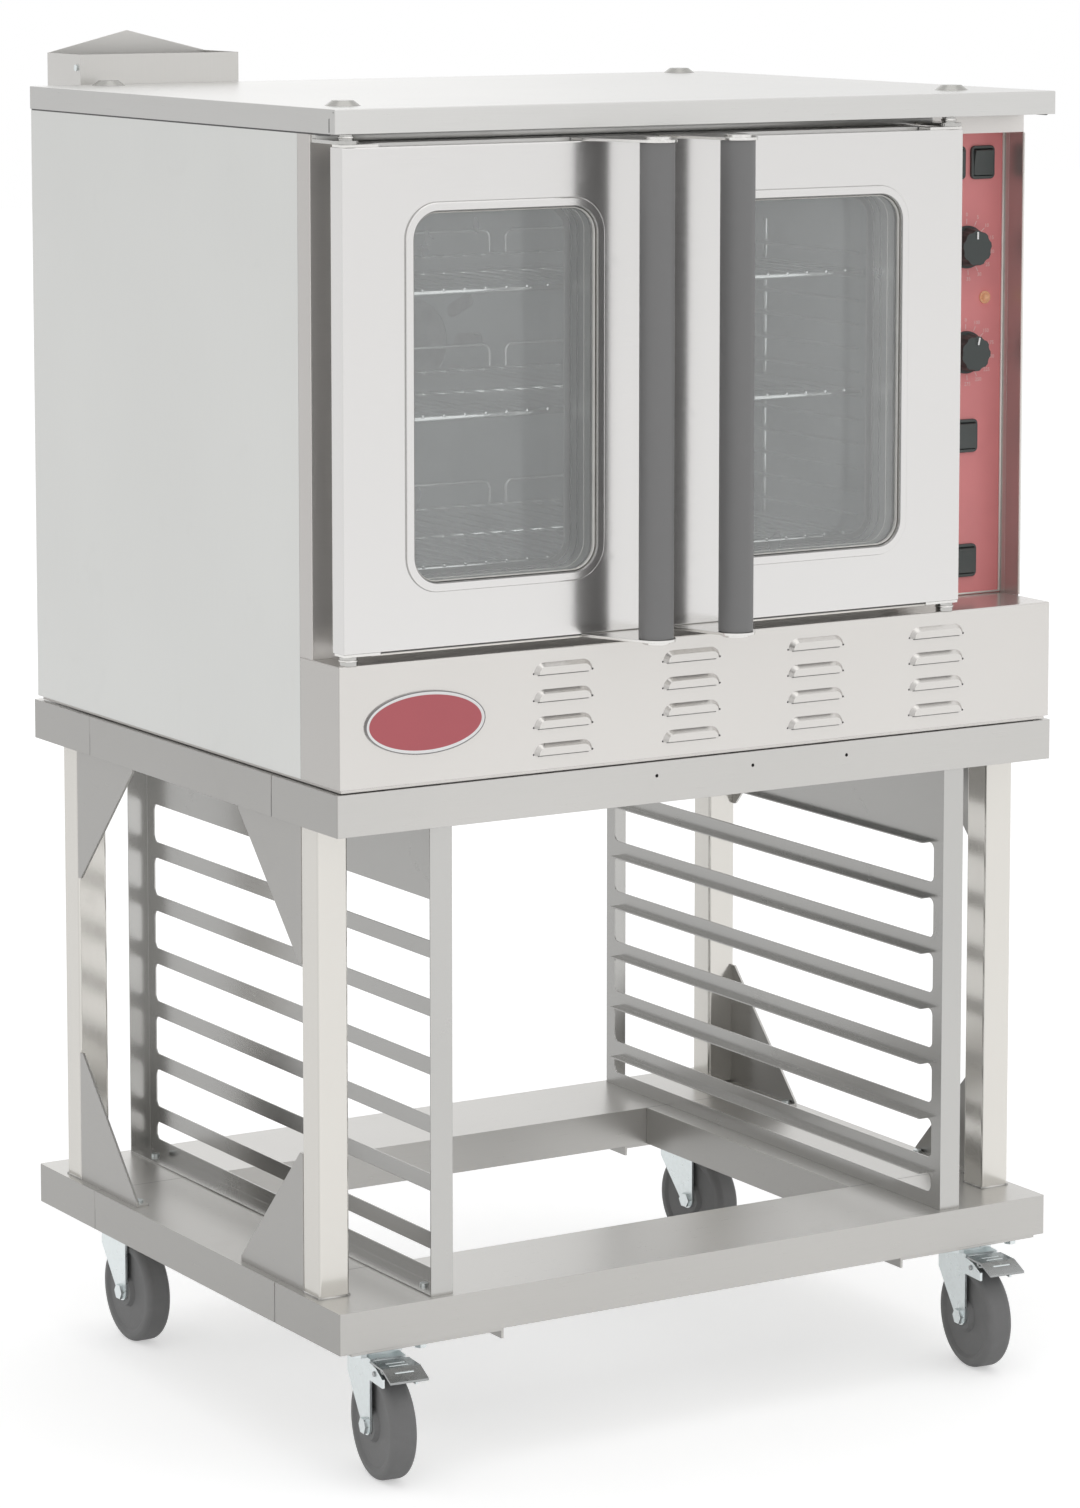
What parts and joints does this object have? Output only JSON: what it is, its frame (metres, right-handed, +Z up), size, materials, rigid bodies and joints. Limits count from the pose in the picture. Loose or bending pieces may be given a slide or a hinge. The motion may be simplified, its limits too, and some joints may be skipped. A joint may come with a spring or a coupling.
{
  "type": "electric convection oven",
  "caption": "Free-standing stainless steel convection oven with two windowed doors and black tubular handles, on an open rolling stand with pan slides and swivel casters.",
  "frame": {"origin": "on the floor under the middle of the object's bounding box", "axes": "+X to the right seen from the front, +Y to the rear, +Z up"},
  "size_m": [0.965, 0.942, 1.587],
  "materials": {
    "stainless": "satin",
    "door_steel": "satin",
    "door_liner": "satin",
    "hinge_steel": "bright",
    "zinc": "bright",
    "galvanised": "matte",
    "badge": "gloss",
    "red_panel": "satin",
    "enamel": "gloss",
    "blanket": "matte",
    "blower": "satin",
    "motor": "matte",
    "element": "matte",
    "rack_wire": "bright",
    "gasket": "matte",
    "black_plastic": "satin",
    "knob_plastic": "satin",
    "rocker_plastic": "gloss",
    "grip_plastic": "matte",
    "wheel_rubber": "matte",
    "amber_lens": "gloss",
    "glass": "gloss"
  },
  "bodies": {
    "oven": {"base_frame": "stainless", "top_frame": "stainless", "stand_posts": "stainless", "gussets": "stainless", "slide_rack_left": "stainless", "slide_rack_right": "stainless", "caster_mounts": "zinc", "caster_plates": "zinc", "screws": "zinc", "bottom_pan": "galvanised", "lower_panel": "stainless", "badge": "badge", "front_frame": "stainless", "left_side_panel": "stainless", "right_side_panel": "stainless", "back_panel": "galvanised", "top_cover": "stainless", "top_plugs": "stainless", "flue_box": "stainless", "oven_liner": "enamel", "insulation": "blanket", "fan_baffle": "enamel", "fan_motor": "motor", "motor_cover": "galvanised", "heating_element": "element", "rack_guides": "rack_wire", "oven_racks": "rack_wire", "door_gasket": "gasket", "hinge_bearings": "hinge_steel", "control_plate": "red_panel", "control_components": "black_plastic", "heat_lamp": "amber_lens", "power_inlet": "black_plastic"},
    "fork_front_left": {"caster_fork_front_left": "zinc"},
    "wheel_front_left": {"caster_wheel_front_left": "wheel_rubber"},
    "pedal_front_left": {"brake_pedal_front_left": "zinc"},
    "fork_front_right": {"caster_fork_front_right": "zinc"},
    "wheel_front_right": {"caster_wheel_front_right": "wheel_rubber"},
    "pedal_front_right": {"brake_pedal_front_right": "zinc"},
    "fork_rear_left": {"caster_fork_rear_left": "zinc"},
    "wheel_rear_left": {"caster_wheel_rear_left": "wheel_rubber"},
    "fork_rear_right": {"caster_fork_rear_right": "zinc"},
    "wheel_rear_right": {"caster_wheel_rear_right": "wheel_rubber"},
    "door_left": {"door_left_skin": "door_steel", "door_left_liner": "door_liner", "door_left_glass": "glass", "door_left_grip": "grip_plastic", "door_left_brackets": "hinge_steel"},
    "door_right": {"door_right_skin": "door_steel", "door_right_liner": "door_liner", "door_right_glass": "glass", "door_right_grip": "grip_plastic", "door_right_brackets": "hinge_steel"},
    "rocker_upper_left": {"rocker_upper_left": "rocker_plastic"},
    "rocker_upper_right": {"rocker_upper_right": "rocker_plastic"},
    "rocker_middle": {"rocker_middle": "rocker_plastic"},
    "rocker_lower": {"rocker_lower": "rocker_plastic"},
    "timer_knob": {"timer_knob": "knob_plastic"},
    "temperature_knob": {"temperature_knob": "knob_plastic"},
    "blower": {"blower_wheel": "blower"}
  },
  "joints": [
    {"name": "swivel_front_left", "type": "hinge", "parent": "oven", "child": "fork_front_left", "pos_m": [-0.4075, -0.315, 0.1445], "axis": [0, 0, 1], "continuous": true},
    {"name": "roll_front_left", "type": "hinge", "parent": "fork_front_left", "child": "wheel_front_left", "pos_m": [-0.41124, -0.34779, 0.0625], "axis": [0.9936, -0.1132, 0], "continuous": true},
    {"name": "brake_front_left", "type": "hinge", "parent": "fork_front_left", "child": "pedal_front_left", "pos_m": [-0.41407, -0.37263, 0.128], "axis": [0.9936, -0.1132, 0], "range_deg": [0, 12]},
    {"name": "swivel_front_right", "type": "hinge", "parent": "oven", "child": "fork_front_right", "pos_m": [0.4075, -0.315, 0.1445], "axis": [0, 0, 1], "continuous": true},
    {"name": "roll_front_right", "type": "hinge", "parent": "fork_front_right", "child": "wheel_front_right", "pos_m": [0.40376, -0.34779, 0.0625], "axis": [0.9936, -0.1132, 0], "continuous": true},
    {"name": "brake_front_right", "type": "hinge", "parent": "fork_front_right", "child": "pedal_front_right", "pos_m": [0.40093, -0.37263, 0.128], "axis": [0.9936, -0.1132, 0], "range_deg": [0, 12]},
    {"name": "swivel_rear_left", "type": "hinge", "parent": "oven", "child": "fork_rear_left", "pos_m": [-0.4075, 0.303, 0.1445], "axis": [0, 0, 1], "continuous": true},
    {"name": "roll_rear_left", "type": "hinge", "parent": "fork_rear_left", "child": "wheel_rear_left", "pos_m": [-0.4075, 0.27, 0.0625], "axis": [1, 0, 0], "continuous": true},
    {"name": "swivel_rear_right", "type": "hinge", "parent": "oven", "child": "fork_rear_right", "pos_m": [0.4075, 0.303, 0.1445], "axis": [0, 0, 1], "continuous": true},
    {"name": "roll_rear_right", "type": "hinge", "parent": "fork_rear_right", "child": "wheel_rear_right", "pos_m": [0.41135, 0.27022, 0.0625], "axis": [0.9932, 0.1167, 0], "continuous": true},
    {"name": "door_left_hinge", "type": "hinge", "parent": "oven", "child": "door_left", "pos_m": [-0.4635, -0.369, 1.21], "axis": [0, 0, -1], "range_deg": [0, 135]},
    {"name": "door_right_hinge", "type": "hinge", "parent": "oven", "child": "door_right", "pos_m": [0.3315, -0.369, 1.21], "axis": [0, 0, 1], "range_deg": [0, 135]},
    {"name": "rocker_upper_left_tilt", "type": "hinge", "parent": "oven", "child": "rocker_upper_left", "pos_m": [0.404, -0.2795, 1.4383], "axis": [1, 0, 0], "range_deg": [-14, 0]},
    {"name": "rocker_upper_right_tilt", "type": "hinge", "parent": "oven", "child": "rocker_upper_right", "pos_m": [0.446, -0.2795, 1.4383], "axis": [1, 0, 0], "range_deg": [-14, 0]},
    {"name": "rocker_middle_tilt", "type": "hinge", "parent": "oven", "child": "rocker_middle", "pos_m": [0.425, -0.2795, 1.114], "axis": [1, 0, 0], "range_deg": [-14, 0]},
    {"name": "rocker_lower_tilt", "type": "hinge", "parent": "oven", "child": "rocker_lower", "pos_m": [0.425, -0.2795, 0.9647], "axis": [1, 0, 0], "range_deg": [-14, 0]},
    {"name": "timer_knob_turn", "type": "hinge", "parent": "oven", "child": "timer_knob", "pos_m": [0.425, -0.29, 1.3385], "axis": [0, 1, 0], "range_deg": [0, 300]},
    {"name": "temperature_knob_turn", "type": "hinge", "parent": "oven", "child": "temperature_knob", "pos_m": [0.425, -0.29, 1.2135], "axis": [0, 1, 0], "range_deg": [-13, 287]},
    {"name": "blower_spin", "type": "hinge", "parent": "oven", "child": "blower", "pos_m": [-0.066, 0.23, 1.211], "axis": [0, 1, 0], "continuous": true}
  ]
}
